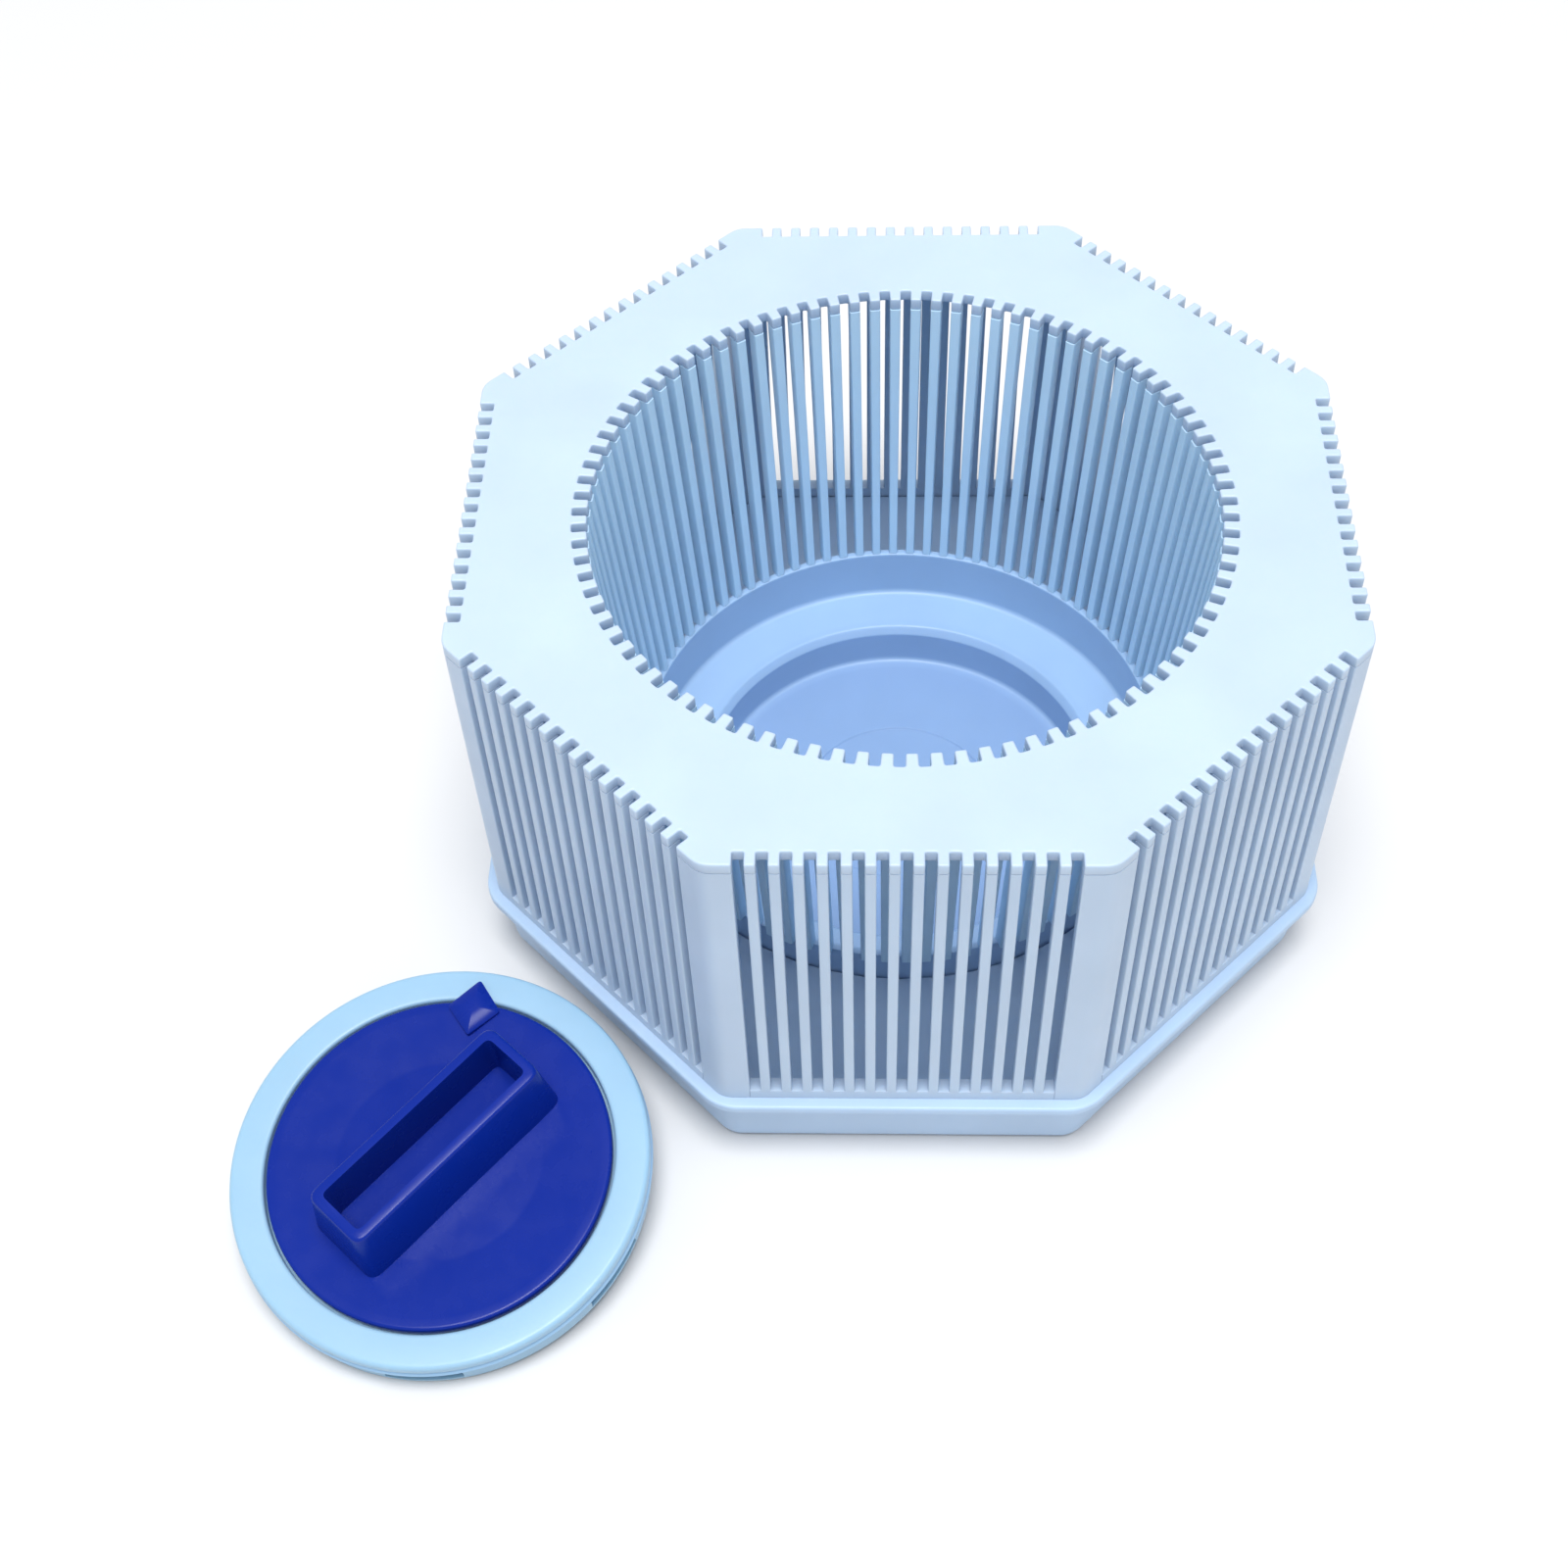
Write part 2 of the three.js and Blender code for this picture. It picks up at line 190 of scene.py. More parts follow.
def fillet(points, steps=4):
    """A closed outline of (x, y, radius) corners with each corner rounded."""
    out = []
    count = len(points)
    for i, (x, y, r) in enumerate(points):
        here = Vector((x, y))
        if r <= 0:
            out.append(here)
            continue
        before = Vector(points[i - 1][:2]) - here
        after = Vector(points[(i + 1) % count][:2]) - here
        half = before.angle(after) / 2
        reach = min(r / math.tan(half), 0.48 * before.length, 0.48 * after.length)
        start = here + before.normalized() * reach
        end = here + after.normalized() * reach
        for s in range(steps + 1):
            t = s / steps
            out.append(start * (1 - t) ** 2 + here * 2 * t * (1 - t) + end * t**2)
    return out


def lathe(bm, profile, segments, steps=5):
    """Turns a closed (radius, height, fillet) profile about z. Points on the axis are merged afterwards."""
    outline = fillet(profile, steps)
    rings = []
    for s in range(segments):
        a = 2 * math.pi * s / segments
        rings.append([Vector((p.x * math.cos(a), p.x * math.sin(a), p.y)) for p in outline])
    rows = [[bm.verts.new(p) for p in ring] for ring in rings]
    count = len(outline)
    for s in range(segments):
        a, b = rows[s], rows[(s + 1) % segments]
        for i in range(count):
            j = (i + 1) % count
            on_axis = outline[i].x < 1e-6 and outline[j].x < 1e-6
            if not on_axis:
                bm.faces.new((a[i], a[j], b[j], b[i]))
    bmesh.ops.remove_doubles(bm, verts=bm.verts, dist=1e-4)


def keep_flats_flat(obj):
    """Marks the border of every level face sharp, so that no shading bends across the flat."""
    mesh = obj.data
    level = [abs(p.normal.z) > 0.999 for p in mesh.polygons]
    kinds = {}
    for polygon, flat in zip(mesh.polygons, level):
        for key in polygon.edge_keys:
            kinds.setdefault(key, set()).add(flat)
    for edge in mesh.edges:
        if len(kinds[edge.key]) == 2:
            edge.use_edge_sharp = True


def plate(name, outer, hole, low, high, edge):
    """A flat plate with one hole between two heights, with its edges rounded over."""
    curve = bpy.data.curves.new(name, "CURVE")
    curve.dimensions = "2D"
    curve.fill_mode = "BOTH"
    curve.extrude = (high - low) / 2 - edge
    curve.bevel_depth = edge
    curve.bevel_resolution = 2
    curve.offset = -edge
    for points in (outer, hole[::-1]):
        spline = curve.splines.new("POLY")
        spline.points.add(len(points) - 1)
        for point, p in zip(spline.points, points):
            point.co = (p.x, p.y, 0, 1)
        spline.use_cyclic_u = True
    carrier = bpy.data.objects.new(name, curve)
    bpy.context.scene.collection.objects.link(carrier)
    bpy.context.view_layer.update()
    graph = bpy.context.evaluated_depsgraph_get()
    mesh = bpy.data.meshes.new_from_object(carrier.evaluated_get(graph))
    bpy.data.objects.remove(carrier)
    bm = bmesh.new()
    bm.from_mesh(mesh)
    bpy.data.meshes.remove(mesh)
    bmesh.ops.translate(bm, verts=bm.verts, vec=(0, 0, (low + high) / 2))
    made = finish_mesh(name, bm)
    keep_flats_flat(made)
    return made


def modify(obj, kind, **settings):
    """Adds a modifier and applies it to the mesh."""
    modifier = obj.modifiers.new(kind, kind)
    for key, value in settings.items():
        setattr(modifier, key, value)
    bpy.context.view_layer.update()
    graph = bpy.context.evaluated_depsgraph_get()
    mesh = bpy.data.meshes.new_from_object(obj.evaluated_get(graph))
    obj.modifiers.clear()
    old = obj.data
    obj.data = mesh
    bpy.data.meshes.remove(old)


def combine(obj, other, operation):
    """Joins or cuts a mesh with another one, which is used up."""
    modify(obj, "BOOLEAN", operation=operation, object=other, solver="EXACT")
    mesh = other.data
    bpy.data.objects.remove(other)
    bpy.data.meshes.remove(mesh)


def octagon(apothem, radius, z, steps):
    """Points round an octagon with rounded corners."""
    points = []
    centre = (apothem - radius) / math.cos(HALF_CORNER)
    for k in range(SIDES):
        corner = (2 * k + 1) * HALF_CORNER
        for i in range(steps + 1):
            a = corner - HALF_CORNER + 2 * HALF_CORNER * i / steps
            x = centre * math.cos(corner) + radius * math.cos(a)
            y = centre * math.sin(corner) + radius * math.sin(a)
            points.append(Vector((x, y, z)))
    return points


# Materials


class Shader:
    """A Principled material with small helpers for its procedural nodes."""

    def __init__(self, name):
        self.material = bpy.data.materials.new(name)
        self.material.use_nodes = True
        self.nodes = self.material.node_tree.nodes
        self.links = self.material.node_tree.links
        self.bsdf = self.nodes["Principled BSDF"]
        self.position = self.nodes.new("ShaderNodeTexCoord").outputs["Object"]

    def noise(self, scale, detail, stretch=None):
        """A noise value from 0 to 1, fixed to the piece."""
        source = self.position
        if stretch:
            mapping = self.nodes.new("ShaderNodeMapping")
            mapping.inputs["Scale"].default_value = stretch
            self.links.new(source, mapping.inputs["Vector"])
            source = mapping.outputs["Vector"]
        texture = self.nodes.new("ShaderNodeTexNoise")
        texture.inputs["Scale"].default_value = scale
        texture.inputs["Detail"].default_value = detail
        self.links.new(source, texture.inputs["Vector"])
        return texture.outputs["Fac"]

    def radius(self):
        """Distance from the vertical axis through the origin, in metres."""
        flat = self.nodes.new("ShaderNodeVectorMath")
        flat.operation = "MULTIPLY"
        flat.inputs[1].default_value = (1, 1, 0)
        self.links.new(self.position, flat.inputs[0])
        length = self.nodes.new("ShaderNodeVectorMath")
        length.operation = "LENGTH"
        self.links.new(flat.outputs["Vector"], length.inputs[0])
        return length.outputs["Value"]

    def tint(self, fac, stops):
        """Multiplies the base colour by a second ramp."""
        source = self.bsdf.inputs["Base Color"].links[0].from_socket
        ramp = self.colours(fac, stops)
        mix = self.nodes.new("ShaderNodeMix")
        mix.data_type = "RGBA"
        mix.blend_type = "MULTIPLY"
        mix.inputs["Factor"].default_value = 1
        self.links.new(source, mix.inputs["A"])
        self.links.new(ramp, mix.inputs["B"])
        self.links.new(mix.outputs["Result"], self.bsdf.inputs["Base Color"])

    def colours(self, fac, stops):
        """A colour ramp through (place, colour) stops."""
        ramp = self.nodes.new("ShaderNodeValToRGB")
        elements = ramp.color_ramp.elements
        while len(elements) < len(stops):
            elements.new(0.5)
        for element, (place, colour) in zip(elements, stops):
            element.position = place
            element.color = (*colour, 1)
        self.links.new(fac, ramp.inputs["Fac"])
        return ramp.outputs["Color"]

    def ramp(self, fac, stops, target):
        """Drives one of the surface's inputs with a colour ramp."""
        self.links.new(self.colours(fac, stops), self.bsdf.inputs[target])

    def bump(self, layers):
        """Each layer is a height texture, its strength and its depth in metres."""
        normal = None
        for height, strength, distance in layers:
            node = self.nodes.new("ShaderNodeBump")
            node.inputs["Strength"].default_value = strength
            node.inputs["Distance"].default_value = distance
            self.links.new(height, node.inputs["Height"])
            if normal:
                self.links.new(normal, node.inputs["Normal"])
            normal = node.outputs["Normal"]
        self.links.new(normal, self.bsdf.inputs["Normal"])

    def set(self, **values):
        """Sets inputs of the surface. An underscore stands for a space in the input's name."""
        for key, value in values.items():
            self.bsdf.inputs[key.replace("_", " ")].default_value = value


def linear(r, g, b):
    """An sRGB colour from 0 to 255 as linear values."""

    def channel(v):
        return v / 12.92 if v <= 0.04045 else ((v + 0.055) / 1.055) ** 2.4

    return tuple(channel(v / 255) for v in (r, g, b))


def shade(colour, factor):
    """A colour made lighter or darker."""
    return tuple(min(1.0, v * factor) for v in colour)


def moulded_shader(name, colour, roughness, subsurface, grain=0.25):
    """Injection-moulded plastic: cloudy tone from the melt, faint flow marks and a fine satin grain."""
    s = Shader(name)
    cloud = s.noise(38, 4)
    s.ramp(cloud, [(0.3, shade(colour, 0.965)), (0.7, shade(colour, 1.03))], "Base Color")
    polish = s.noise(140, 5)
    s.ramp(polish, [(0.3, (roughness - 0.05,) * 3), (0.75, (roughness + 0.07,) * 3)], "Roughness")
    s.bump([(s.noise(2600, 2), grain, 0.00004), (s.noise(60, 2, (1, 1, 0.25)), grain, 0.00015)])
    s.set(Subsurface_Weight=subsurface, Subsurface_Scale=0.004, Subsurface_Radius=(0.5, 0.8, 1.0))
    s.set(IOR=1.49)
    return s


def painted_shade_well_floor():
    """Bluer than the pan, and darker with painted shade for the well's bottom, and darker again in the recess
    with more painted shade.
    """
    # Painted shade: the tray's colour is a darker copy of the pan's plastic, for the shade at the well's
    # bottom.
    s = moulded_shader("well_floor_moulding_with_painted_shade", linear(156, 187, 221), 0.42, 0.15)
    edge = RECESS_R * MM
    # Painted shade: the floor inside the recess rim is darkened further.
    s.tint(s.radius(), [(edge - 0.001, (0.72, 0.75, 0.84)), (edge + 0.001, (1, 1, 1))])
    return s.material


def dial_plastic():
    """A deep colour, with a fainter grain and a weaker, sharper reflection than the pale parts."""
    s = moulded_shader("royal_blue_moulding", linear(6, 38, 140), 0.26, 0.02, grain=0.12)
    s.set(Specular_IOR_Level=0.2)
    return s.material


def foam():
    """Closed-cell foam with a fine pitted skin."""
    s = Shader("closed_cell_foam")
    cells = s.noise(900, 4)
    s.ramp(cells, [(0.35, linear(222, 226, 222)), (0.65, linear(246, 247, 242))], "Base Color")
    s.bump([(cells, 0.6, 0.0004)])
    s.set(Roughness=0.9)
    return s.material


BASKET = moulded_shader("pale_blue_moulding", linear(185, 204, 226), 0.42, 0.15).material
# Painted light: the well's slats take a brighter, bluer copy of the basket's plastic, for the light that
# gathers inside the well.
WELL_WALL_PAINTED_LIGHT = moulded_shader("well_wall_painted_light_moulding", linear(192, 224, 248), 0.42, 0.15).material
BASE = moulded_shader("base_moulding", linear(177, 202, 230), 0.42, 0.15).material
TRAY_WITH_PAINTED_SHADE = painted_shade_well_floor()
FOAM = foam()
COLLAR = moulded_shader("sky_blue_moulding", linear(150, 188, 215), 0.38, 0.2).material
DIAL = dial_plastic()
SEAL = moulded_shader("soft_seal_rubber", linear(150, 188, 222), 0.6, 0.15, grain=0.4).material
PIN = moulded_shader("natural_nylon", linear(222, 232, 240), 0.45, 0.3).material


def place(obj, material, body, slot, *nodes):
    """Gives a piece its material and the body it rides on, and hides the CAD nodes it stands for. The slot is
    not used.
    """
    obj.data.materials.clear()
    obj.data.materials.append(material)
    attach(obj, body)
    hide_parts(*nodes)


# The basket


def slot_centres():
    """Where the slots of one side stand, along that side."""
    return [(i - (SIDE_SLOTS - 1) / 2) * SIDE_PITCH for i in range(SIDE_SLOTS)]


def notched_octagon():
    """The deck's outer edge, with a notch over each slot of the outer wall."""
    root = WALL - WALL_APOTHEM
    points = []
    for k in range(SIDES):
        turn = Matrix.Rotation(2 * k * HALF_CORNER, 2)
        side = []
        for x in slot_centres():
            side.append((x - SLOT / 2, -WALL_APOTHEM, NOTCH_TIP_R))
            side.append((x - SLOT / 2, root, NOTCH_ROOT_R))
            side.append((x + SLOT / 2, root, NOTCH_ROOT_R))
            side.append((x + SLOT / 2, -WALL_APOTHEM, NOTCH_TIP_R))
        side.append((WALL_APOTHEM * math.tan(HALF_CORNER), -WALL_APOTHEM, WALL_CORNER_R))
        for x, y, r in side:
            p = turn @ Vector((x, y))
            points.append((p.x, p.y, r))
    return fillet(points, 4)


def well_slot_angle(i):
    """The direction of a slot in the well's wall."""
    return math.radians(45) + 2 * math.pi * i / WELL_SLOTS


def notched_circle():
    """The deck's inner edge, with a notch over each slot of the well's wall."""
    tip = math.sqrt(WELL_TOP_R**2 - (SLOT / 2) ** 2)
    root = WELL_TOP_R + WALL
    notch = ((tip, -1, NOTCH_TIP_R), (root, -1, NOTCH_ROOT_R), (root, 1, NOTCH_ROOT_R), (tip, 1, NOTCH_TIP_R))
    points = []
    for i in range(WELL_SLOTS):
        a = well_slot_angle(i)
        along = Vector((math.cos(a), math.sin(a)))
        across = Vector((-along.y, along.x)) * SLOT / 2
        for radius, side, r in notch:
            p = along * radius + across * side
            points.append((p.x, p.y, r))
    return fillet(points, 3)


def make_deck():
    """The flat top, whose two edges are notched over the slots."""
    deck = plate("deck_moulding", notched_octagon(), notched_circle(), DECK_UNDER, DECK_TOP, DECK_EDGE_R)
    place(deck, BASKET, "body", "basket_plastic", "deck")


def upright(bm, outline, low, high, turn):
    """A bar of constant section between two heights."""
    flat = [turn @ Vector((p.x, p.y)) for p in outline]
    loft(bm, [[Vector((p.x, p.y, z)) for p in flat] for z in (low, high)])


def make_side(k):
    """The slats of one side, standing on a rail."""
    turn = Matrix.Rotation(2 * k * HALF_CORNER, 2)
    bm = bmesh.new()
    width = SIDE_PITCH - SLOT
    outer, inner = -WALL_APOTHEM, WALL - WALL_APOTHEM
    for x in slot_centres()[:-1]:
        left, right = x + SLOT / 2, x + SLOT / 2 + width
        section = ((left, outer), (right, outer), (right, inner), (left, inner))
        outline = fillet([(*corner, SLAT_EDGE_R) for corner in section], 3)
        upright(bm, outline, RAIL_TOP, DECK_UNDER, turn)
    end = slot_centres()[-1] + SLOT / 2
    rail = fillet([(-end, outer, 0), (end, outer, 0), (end, inner, 0), (-end, inner, 0)])
    upright(bm, rail, LIP_TOP, RAIL_TOP, turn)
    side = finish_mesh(f"side_slats_{k + 1}", bm)
    place(side, BASKET, "body", "basket_plastic", f"side_grille_{k + 1}")


def make_post(k):
    """The plain corner between two slotted sides, drawn with its corner on -Y."""
    turn = Matrix.Rotation((2 * k + 1) * HALF_CORNER, 2)
    end = slot_centres()[-1] + SLOT / 2
    reach = WALL_APOTHEM * math.tan(HALF_CORNER) - end
    inner = WALL_APOTHEM - WALL

    def leg(apothem, side):
        shift = reach - (WALL_APOTHEM - apothem) * math.tan(HALF_CORNER)
        x = side * shift * math.cos(HALF_CORNER)
        return x, -apothem / math.cos(HALF_CORNER) + shift * math.sin(HALF_CORNER)

    outline = fillet(
        [
            (*leg(WALL_APOTHEM, -1), SLAT_EDGE_R),
            (0, -WALL_APOTHEM / math.cos(HALF_CORNER), WALL_CORNER_R),
            (*leg(WALL_APOTHEM, 1), SLAT_EDGE_R),
            (*leg(inner, 1), SLAT_EDGE_R),
            (0, -inner / math.cos(HALF_CORNER), 1.5),
            (*leg(inner, -1), SLAT_EDGE_R),
        ],
        6,
    )
    bm = bmesh.new()
    upright(bm, outline, LIP_TOP, DECK_UNDER, turn)
    post = finish_mesh(f"corner_post_moulding_{k + 1}", bm)
    place(post, BASKET, "body", "basket_plastic", f"corner_post_{k + 1}")


def well_radius(z):
    """Inner radius of the well's conical wall."""
    foot = LIP_TOP
    return BAND_R + (WELL_TOP_R - BAND_R) * (z - foot) / (DECK_TOP - foot)


def make_well_slats():
    """The slats of the well's conical wall, wider towards the mouth so that the slots stay even."""
    bm = bmesh.new()
    rises = 4
    heights = [BAND_TOP + (DECK_UNDER - BAND_TOP) * i / rises for i in range(rises + 1)]
    for i in range(WELL_SLOTS):
        middle = (well_slot_angle(i) + well_slot_angle(i + 1)) / 2
        turn = Matrix.Rotation(middle, 2)
        rings = []
        for z in heights:
            inner = well_radius(z)
            half = inner * math.pi / WELL_SLOTS - SLOT / 2
            outer_half = half + WALL * math.pi / WELL_SLOTS
            outer = inner + WALL
            section = ((inner, -half), (outer, -outer_half), (outer, outer_half), (inner, half))
            outline = fillet([(*corner, SLAT_EDGE_R) for corner in section], 3)
            rings.append([Vector((*(turn @ p), z)) for p in outline])
        loft(bm, rings)
    slats = finish_mesh("well_slats", bm)
    nodes = [f"well_grille_{k + 1}" for k in range(WELL_PANELS)]
    place(slats, WELL_WALL_PAINTED_LIGHT, "body", "basket_plastic", *nodes)


def make_well_floor():
    """The band under the slats, the ledge and the recess, as one turned moulding."""
    floor_top = TRAY_UNDER + SKIN
    bm = bmesh.new()
    lathe(
        bm,
        [
            (SOCKET_R, TRAY_UNDER, 0),
            (RECESS_R + SKIN, TRAY_UNDER, 1),
            (RECESS_R + SKIN, LEDGE_Z - SKIN, 1),
            (BAND_R + SKIN, LEDGE_Z - SKIN, 1),
            (BAND_R + SKIN, BAND_TOP, 0.3),
            (BAND_R + 0.4, BAND_TOP, 0.6),
            (BAND_R, LEDGE_Z, 1.6),
            (RECESS_R + 1.7, LEDGE_Z, 1.2),
            (RECESS_R, LEDGE_Z - 1.9, 0.9),
            (RECESS_R - 0.2, floor_top, 1.4),
            (SEAT_R, floor_top, 0.2),
            (SEAT_R - SEAT_DEPTH, floor_top - SEAT_DEPTH, 0.2),
            (SOCKET_R, floor_top - SEAT_DEPTH, 0.5),
        ],
        2 * WELL_SLOTS,
    )
    place(finish_mesh("well_floor", bm), TRAY_WITH_PAINTED_SHADE, "body", "base_plastic", "well_tray")


def make_base():
    """The base pan: one skin from its underside, out round the lip and back to its inner floor."""

    def corner(apothem):
        return max(2, PAN_CORNER_R + apothem - LIP_APOTHEM)

    lip_under = LIP_TOP - LIP_THICKNESS
    section = fillet(
        [
            (PAN_FLOOR, 0, 0),
            (PAN_FOOT, 0, 3.5),
            (PAN_WALL_TOP, lip_under - 0.8, 0.8),
            (LIP_APOTHEM, lip_under, 0.7),
            (LIP_APOTHEM, LIP_TOP, 0.8),
            (PAN_RIM_INNER, LIP_TOP, 0.4),
            (PAN_FOOT_INNER, SKIN, 2.5),
            (PAN_FLOOR, SKIN, 0),
        ],
        6,
    )
    bm = bmesh.new()
    loft(bm, [octagon(p.x, corner(p.x), p.y, 10) for p in section])
    place(finish_mesh("base_moulding", bm), BASE, "body", "base_plastic", "base_pan")


def dress(node, material):
    """A CAD node whose shape is right keeps it and takes a finished material."""
    mesh = frame["nodes"][node].data
    mesh.materials.clear()
    mesh.materials.append(material)


# The cap, in its own frame


def cut_windows(ring, radius):
    """Cuts the dosing windows through an upright ring."""
    size = Matrix.Diagonal((12, WINDOW_WIDTH, WINDOW_HEIGHT, 1))
    middle = Matrix.Translation((radius, 0, WINDOW_FOOT + WINDOW_HEIGHT / 2))
    bm = bmesh.new()
    for i in range(WINDOWS):
        turn = Matrix.Rotation(2 * math.pi * (i + 0.5) / WINDOWS, 4, "Z")
        bmesh.ops.create_cube(bm, size=1, matrix=turn @ middle @ size)
    combine(ring, finish_mesh("window_cutter", bm, CAP_TO_WORLD), "DIFFERENCE")
    smooth(ring)


def make_collar():
    """The pale ring: a skirt with windows, a groove for the seal, a rounded rim and the dish for the dial."""
    bm = bmesh.new()
    lathe(
        bm,
        [
            (STEM_R + GAP, WEB_Z, 0),
            (SKIRT_BORE_R, WEB_Z, 0.8),
            (SKIRT_BORE_R, 0, 0.5),
            (SKIRT_R, 0, 0.6),
            (SKIRT_R, SKIRT_TOP, 0.2),
            (SEAL_GROOVE_R, SKIRT_TOP, 0.2),
            (SEAL_GROOVE_R, RIM_UNDER + 0.1, 0.2),
            (CAP_R, RIM_UNDER, 0.5),
            (CAP_R, CAP_TOP, 2.4),
            (DISH_R, CAP_TOP, 1.0),
            (DISH_R, WEB_TOP, 0.4),
            (STEM_R + GAP, WEB_TOP, 0),
        ],
        CAP_SEGMENTS,
    )
    collar = finish_mesh("collar_moulding", bm, CAP_TO_WORLD)
    cut_windows(collar, SKIRT_R)
    place(collar, COLLAR, "cap", "collar_plastic", "cap_collar")


def make_sleeve():
    """The cup that turns with the dial, so that its windows open or shut the skirt's."""
    outer = SKIRT_BORE_R - GAP
    inner = outer - SLEEVE_SKIN
    top = WEB_Z - GAP
    foot = 0.5
    bm = bmesh.new()
    lathe(
        bm,
        [
            (PIN_BORE_R, top - SLEEVE_SKIN, 0),
            (inner, top - SLEEVE_SKIN, 0.8),
            (inner, foot, 0.3),
            (outer, foot, 0.3),
            (outer, top, 0.6),
            (PIN_BORE_R, top, 0),
        ],
        CAP_SEGMENTS,
        4,
    )
    sleeve = finish_mesh("sleeve_moulding", bm, CAP_TO_WORLD)
    cut_windows(sleeve, outer)
    place(sleeve, COLLAR, "dial", "collar_plastic", "dosing_sleeve")


def tapered_box(name, length, width, low, high, draft, radius, edge):
    """A block with rounded corners whose sides lean by draft at its foot, and a rounded top edge."""
    rings = []
    depth = high - low
    stations = [(0, 0), (0.5, 0), (1 - edge / depth, 0)]
    for a in (0.5, 1.0, math.pi / 2):
        stations.append((1 - edge / depth * (1 - math.sin(a)), edge * (1 - math.cos(a))))
    for t, inset in stations:
        grow = draft * (1 - t) - inset
        x, y = length / 2 + grow, width / 2 + grow
        outline = fillet([(-x, -y, radius), (x, -y, radius), (x, y, radius), (-x, y, radius)], 5)
        rings.append([Vector((p.x, p.y, low + depth * t)) for p in outline])
    bm = bmesh.new()
    loft(bm, rings)
    return finish_mesh(name, bm, CAP_TO_WORLD @ Matrix.Rotation(HANDLE_DIRECTION, 4, "Z"))


def make_pointer():
    """The small raised arrow at the dial's rim, which sits over the collar."""
    inner, middle, outer, half = DIAL_R - 9, DIAL_R - 2, DIAL_R + 5.7, 6.5
    outline = fillet([(inner, 0, 0.6), (middle, -half, 1), (outer, 0, 0.7), (middle, half, 1)], 3)
    rings = []
    for scale, rise in ((1, -0.25), (1, 0.7), (0.8, 1.5), (0.25, 1.9)):
        z = DIAL_TOP + rise
        rings.append([Vector((middle + (p.x - middle) * scale, p.y * scale, z)) for p in outline])
    bm = bmesh.new()
    loft(bm, rings)
    return finish_mesh("pointer", bm, CAP_TO_WORLD @ Matrix.Rotation(POINTER_DIRECTION, 4, "Z"))


def make_handle():
    """The bar that turns the dial, with a pocket open at its top."""
    foot = DIAL_TOP - 1.5
    handle = tapered_box(
        "handle", HANDLE_LENGTH, HANDLE_WIDTH, foot, HANDLE_TOP, HANDLE_DRAFT, radius=3, edge=0.7
    )
    length = HANDLE_LENGTH - 2 * HANDLE_WALL
    width = HANDLE_WIDTH - 2 * HANDLE_WALL
    pocket = tapered_box(
        "pocket", length, width, DIAL_TOP + 3, HANDLE_TOP + 4, draft=-0.8, radius=1.6, edge=0.2
    )
    combine(handle, pocket, "DIFFERENCE")
    return handle


def make_dial():
    """The disc on its stem, dished a little, with the handle and the pointer."""
    bm = bmesh.new()
    lathe(
        bm,
        [
            (0, WEB_Z, 0),
            (STEM_R, WEB_Z, 0.4),
            (STEM_R, DIAL_Z, 0),
            (DIAL_R, DIAL_Z, 0.5),
            (DIAL_R, DIAL_TOP, 0.9),
            (DIAL_R - 2.5, DIAL_TOP - 0.05, 2),
            (DIAL_R * 0.6, DIAL_TOP - 0.8, 14),
            (0, DIAL_TOP - 0.2, 0),
        ],
        CAP_SEGMENTS,
    )
    dial = finish_mesh("dial_moulding", bm, CAP_TO_WORLD)
    combine(dial, make_handle(), "UNION")
    combine(dial, make_pointer(), "UNION")
    smooth(dial, 30)
    place(dial, DIAL, "dial", "dial_plastic", "dial_knob")


def make_seal():
    """The rubber ring in the collar's groove."""
    inner, middle, outer = 46.9, 49, 49.9
    low, high = 5.9, 7.9
    bm = bmesh.new()
    profile = [
        (inner, low, 0.3),
        (middle, low, 0.3),
        (outer, (low + high) / 2, 1.2),
        (middle, high, 0.3),
        (inner, high, 0.3),
    ]
    lathe(bm, profile, CAP_SEGMENTS)
    place(finish_mesh("collar_seal", bm, CAP_TO_WORLD), SEAL, "cap", "seal_rubber", "cap_seal")


# The stage


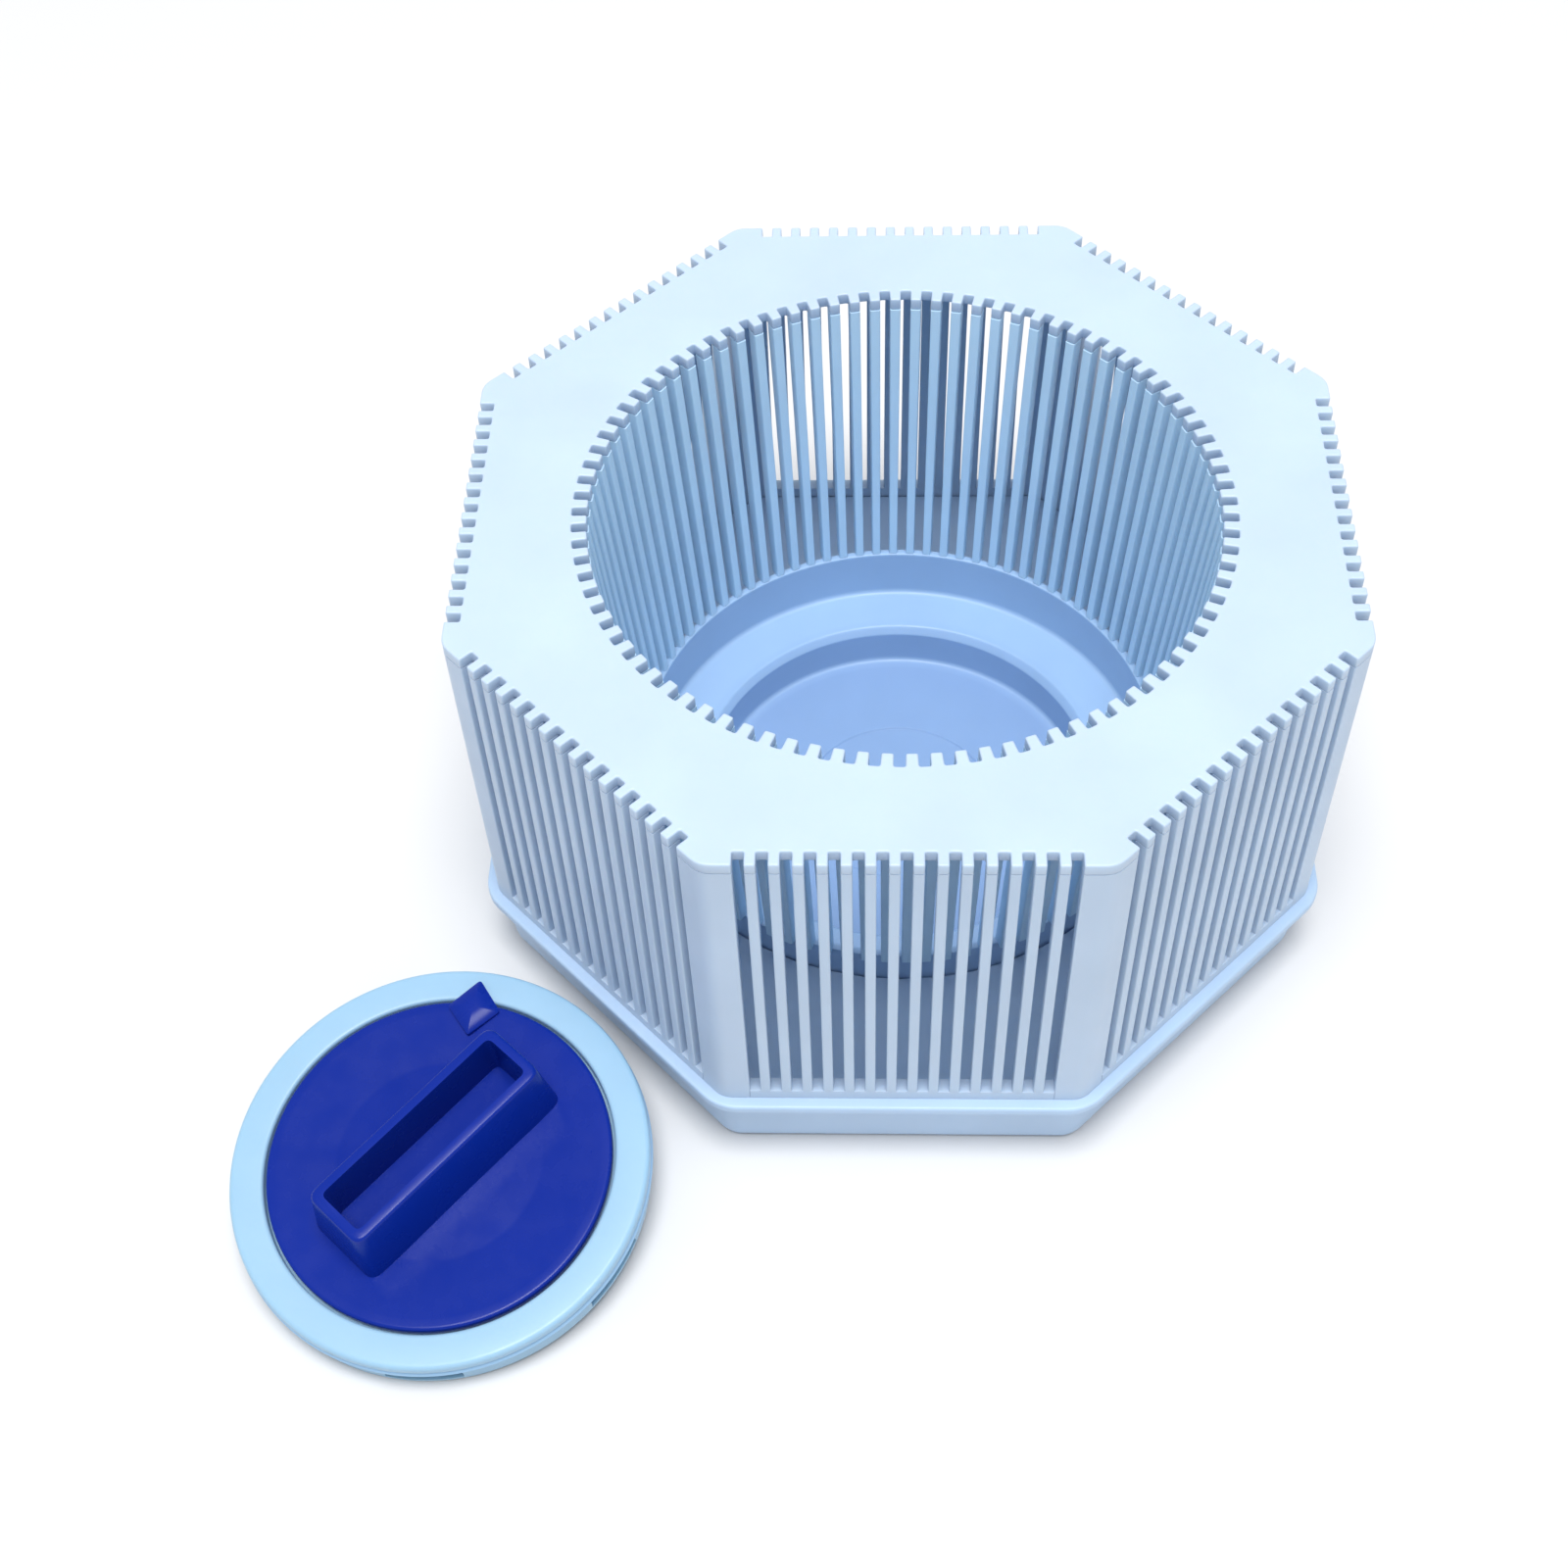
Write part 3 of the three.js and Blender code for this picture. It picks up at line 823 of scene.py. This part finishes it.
def make_floor():
    """A plain pale floor."""
    bm = bmesh.new()
    bmesh.ops.create_grid(bm, x_segments=1, y_segments=1, size=30000)
    floor = finish_mesh("floor", bm)
    s = Shader("studio_floor")
    s.set(Base_Color=(0.73, 0.73, 0.735, 1), Roughness=0.9, Specular_IOR_Level=0.1)
    floor.data.materials.append(s.material)


def make_lights():
    """An even pale sky and one large soft light overhead, a little to the front. Lengths here are metres."""
    world = bpy.data.worlds.new("studio")
    world.use_nodes = True
    background = world.node_tree.nodes["Background"]
    background.inputs["Color"].default_value = (0.97, 0.985, 1, 1)
    background.inputs["Strength"].default_value = 0.6
    bpy.context.scene.world = world
    data = bpy.data.lights.new("key", "AREA")
    data.shape = "DISK"
    data.size = 1.4
    data.energy = 67
    light = bpy.data.objects.new("key", data)
    light.location = (0, -0.5, 2.6)
    light.rotation_euler = (-light.location).to_track_quat("-Z", "Y").to_euler()
    bpy.context.scene.collection.objects.link(light)


def make_camera():
    """A camera about 56 cm away that looks 52 degrees down, with a slight roll. Lengths here are metres."""
    distance, pitch, roll, yaw = 0.5576, 0.907, -0.05, -0.065
    target = Vector((-0.03023, -0.00820, 0.025))
    forward = Vector((0, math.cos(pitch), -math.sin(pitch)))
    right = Vector((1, 0, 0))
    up = right.cross(forward)
    rolled_right = right * math.cos(roll) + up * math.sin(roll)
    rolled_up = up * math.cos(roll) - right * math.sin(roll)
    matrix = Matrix((rolled_right, rolled_up, -forward)).transposed().to_4x4()
    matrix.translation = target - forward * distance
    data = bpy.data.cameras.new("camera")
    data.sensor_width = 36
    data.lens = 49.6
    data.clip_start = 0.01
    camera = bpy.data.objects.new("camera", data)
    camera.matrix_world = Matrix.Rotation(-yaw, 4, "Z") @ matrix
    bpy.context.scene.collection.objects.link(camera)
    bpy.context.scene.camera = camera


make_camera()
make_floor()
make_lights()
bpy.context.scene.view_settings.view_transform = "Standard"

make_deck()
for k in range(SIDES):
    make_side(k)
    make_post(k)
make_well_slats()
make_well_floor()
make_base()
dress("float_cover", BASE)
dress("float_ring", FOAM)

make_collar()
make_sleeve()
make_dial()
make_seal()
dress("centre_pin", PIN)
